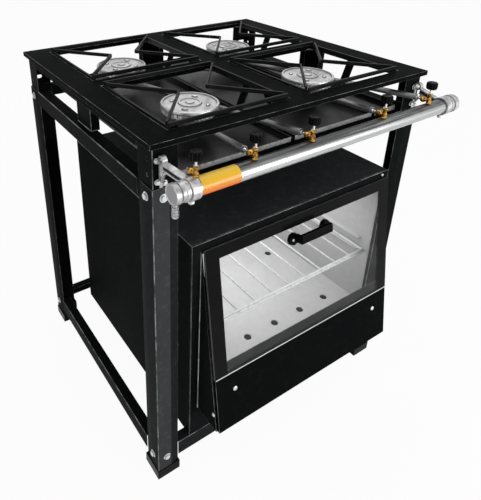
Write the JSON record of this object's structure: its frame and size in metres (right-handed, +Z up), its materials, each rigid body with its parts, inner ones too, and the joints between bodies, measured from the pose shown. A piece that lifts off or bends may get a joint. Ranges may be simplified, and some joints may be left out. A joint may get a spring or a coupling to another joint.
{
  "type": "gas cooking range",
  "caption": "Floor-standing gas stove: black sheet-steel frame, open hob with lift-off grates and burners, a front gas pipe with taps, and an oven below with a drop-down glass door.",
  "frame": {"origin": "on the floor, below the middle of the whole object's box", "axes": "+X to the right seen from the front, +Z up, the door and the taps face -Y"},
  "size_m": [0.737, 0.7198, 0.858],
  "materials": {
    "frame_paint": "semi-gloss black paint",
    "black_plastic": "satin black",
    "galvanised": "bright zinc-coated sheet",
    "rack_wire": "bright wire",
    "zinc_plated": "zinc-plated",
    "brass": "turned brass",
    "cast_aluminium": "bright casting",
    "tray_aluminium": "mill-finish sheet",
    "black_iron": "black",
    "glass": "clear pane with a black printed border"
  },
  "bodies": {
    "stand": {"hob_plate": "frame_paint", "post_front_left": "frame_paint", "leg_front_left": "frame_paint", "foot_front_left": "black_plastic", "post_front_right": "frame_paint", "leg_front_right": "frame_paint", "foot_front_right": "black_plastic", "post_back_left": "frame_paint", "leg_back_left": "frame_paint", "foot_back_left": "black_plastic", "post_back_right": "frame_paint", "leg_back_right": "frame_paint", "foot_back_right": "black_plastic", "hob_rail_front": "frame_paint", "hob_rail_back": "frame_paint", "hob_rail_left": "frame_paint", "hob_rail_right": "frame_paint", "base_rail_front": "frame_paint", "base_rail_back": "frame_paint", "base_rail_left": "frame_paint", "base_rail_right": "frame_paint", "oven_shell": "frame_paint", "oven_bottom": "frame_paint", "oven_liner": "galvanised", "oven_floor": "galvanised", "oven_front_frame": "frame_paint", "oven_tube_burner": "galvanised", "manifold_pipe": "zinc_plated", "inlet_fitting": "zinc_plated", "bracket_left": "zinc_plated", "bracket_right": "zinc_plated", "valve_oven": "brass", "valve_front_left": "brass", "valve_back_left": "brass", "valve_front_right": "brass", "valve_back_right": "brass", "burner_body_front_left": "cast_aluminium", "burner_body_front_right": "cast_aluminium", "burner_body_back_left": "cast_aluminium", "burner_body_back_right": "cast_aluminium"},
    "door": {"door_panel": "frame_paint", "door_glass": "glass", "door_handle": "black_plastic"},
    "rack": {"oven_rack": "rack_wire"},
    "tray_left": {"drip_tray_left": "tray_aluminium"},
    "tray_middle": {"drip_tray_middle": "tray_aluminium"},
    "tray_right": {"drip_tray_right": "tray_aluminium"},
    "knob_oven": {"knob_oven": "black_plastic"},
    "knob_front_left": {"knob_front_left": "black_plastic"},
    "knob_back_left": {"knob_back_left": "black_plastic"},
    "knob_front_right": {"knob_front_right": "black_plastic"},
    "knob_back_right": {"knob_back_right": "black_plastic"},
    "burner_cap_front_left": {"burner_cap_front_left": "cast_aluminium"},
    "grate_front_left": {"grate_front_left": "black_iron"},
    "burner_cap_front_right": {"burner_cap_front_right": "cast_aluminium"},
    "grate_front_right": {"grate_front_right": "black_iron"},
    "burner_cap_back_left": {"burner_cap_back_left": "cast_aluminium"},
    "grate_back_left": {"grate_back_left": "black_iron"},
    "burner_cap_back_right": {"burner_cap_back_right": "cast_aluminium"},
    "grate_back_right": {"grate_back_right": "black_iron"}
  },
  "joints": [
    {"name": "door_hinge", "type": "hinge", "parent": "stand", "child": "door", "pos_m": [0.0131, -0.33209, 0.20646], "axis": [1, 0, 0], "range_deg": [0, 82]},
    {"name": "rack_slide", "type": "slide", "parent": "stand", "child": "rack", "axis": [0, -1, 0], "range_m": [0, 0.035]},
    {"name": "tray_slide_left", "type": "slide", "parent": "stand", "child": "tray_left", "axis": [0, -1, 0], "range_m": [0, 0.35]},
    {"name": "tray_slide_middle", "type": "slide", "parent": "stand", "child": "tray_middle", "axis": [0, -1, 0], "range_m": [0, 0.35]},
    {"name": "tray_slide_right", "type": "slide", "parent": "stand", "child": "tray_right", "axis": [0, -1, 0], "range_m": [0, 0.35]},
    {"name": "knob_turn_oven", "type": "hinge", "parent": "stand", "child": "knob_oven", "pos_m": [-0.3205, -0.3401, 0.8371], "axis": [0, 0, 1], "range_deg": [0, 150]},
    {"name": "knob_turn_front_left", "type": "hinge", "parent": "stand", "child": "knob_front_left", "pos_m": [-0.2005, -0.3401, 0.8371], "axis": [0, 0, 1], "range_deg": [0, 150]},
    {"name": "knob_turn_back_left", "type": "hinge", "parent": "stand", "child": "knob_back_left", "pos_m": [-0.0665, -0.3401, 0.8371], "axis": [0, 0, 1], "range_deg": [0, 150]},
    {"name": "knob_turn_front_right", "type": "hinge", "parent": "stand", "child": "knob_front_right", "pos_m": [0.1315, -0.3401, 0.8371], "axis": [0, 0, 1], "range_deg": [0, 150]},
    {"name": "knob_turn_back_right", "type": "hinge", "parent": "stand", "child": "knob_back_right", "pos_m": [0.2765, -0.3401, 0.8371], "axis": [0, 0, 1], "range_deg": [0, 150]},
    {"name": "cap_lift_front_left", "type": "slide", "parent": "stand", "child": "burner_cap_front_left", "axis": [0, 0, 1], "range_m": [0, 0.016]},
    {"name": "grate_lift_front_left", "type": "slide", "parent": "stand", "child": "grate_front_left", "axis": [0, 0, 1], "range_m": [0, 0.15]},
    {"name": "cap_lift_front_right", "type": "slide", "parent": "stand", "child": "burner_cap_front_right", "axis": [0, 0, 1], "range_m": [0, 0.016]},
    {"name": "grate_lift_front_right", "type": "slide", "parent": "stand", "child": "grate_front_right", "axis": [0, 0, 1], "range_m": [0, 0.15]},
    {"name": "cap_lift_back_left", "type": "slide", "parent": "stand", "child": "burner_cap_back_left", "axis": [0, 0, 1], "range_m": [0, 0.016]},
    {"name": "grate_lift_back_left", "type": "slide", "parent": "stand", "child": "grate_back_left", "axis": [0, 0, 1], "range_m": [0, 0.15]},
    {"name": "cap_lift_back_right", "type": "slide", "parent": "stand", "child": "burner_cap_back_right", "axis": [0, 0, 1], "range_m": [0, 0.016]},
    {"name": "grate_lift_back_right", "type": "slide", "parent": "stand", "child": "grate_back_right", "axis": [0, 0, 1], "range_m": [0, 0.15]}
  ]
}
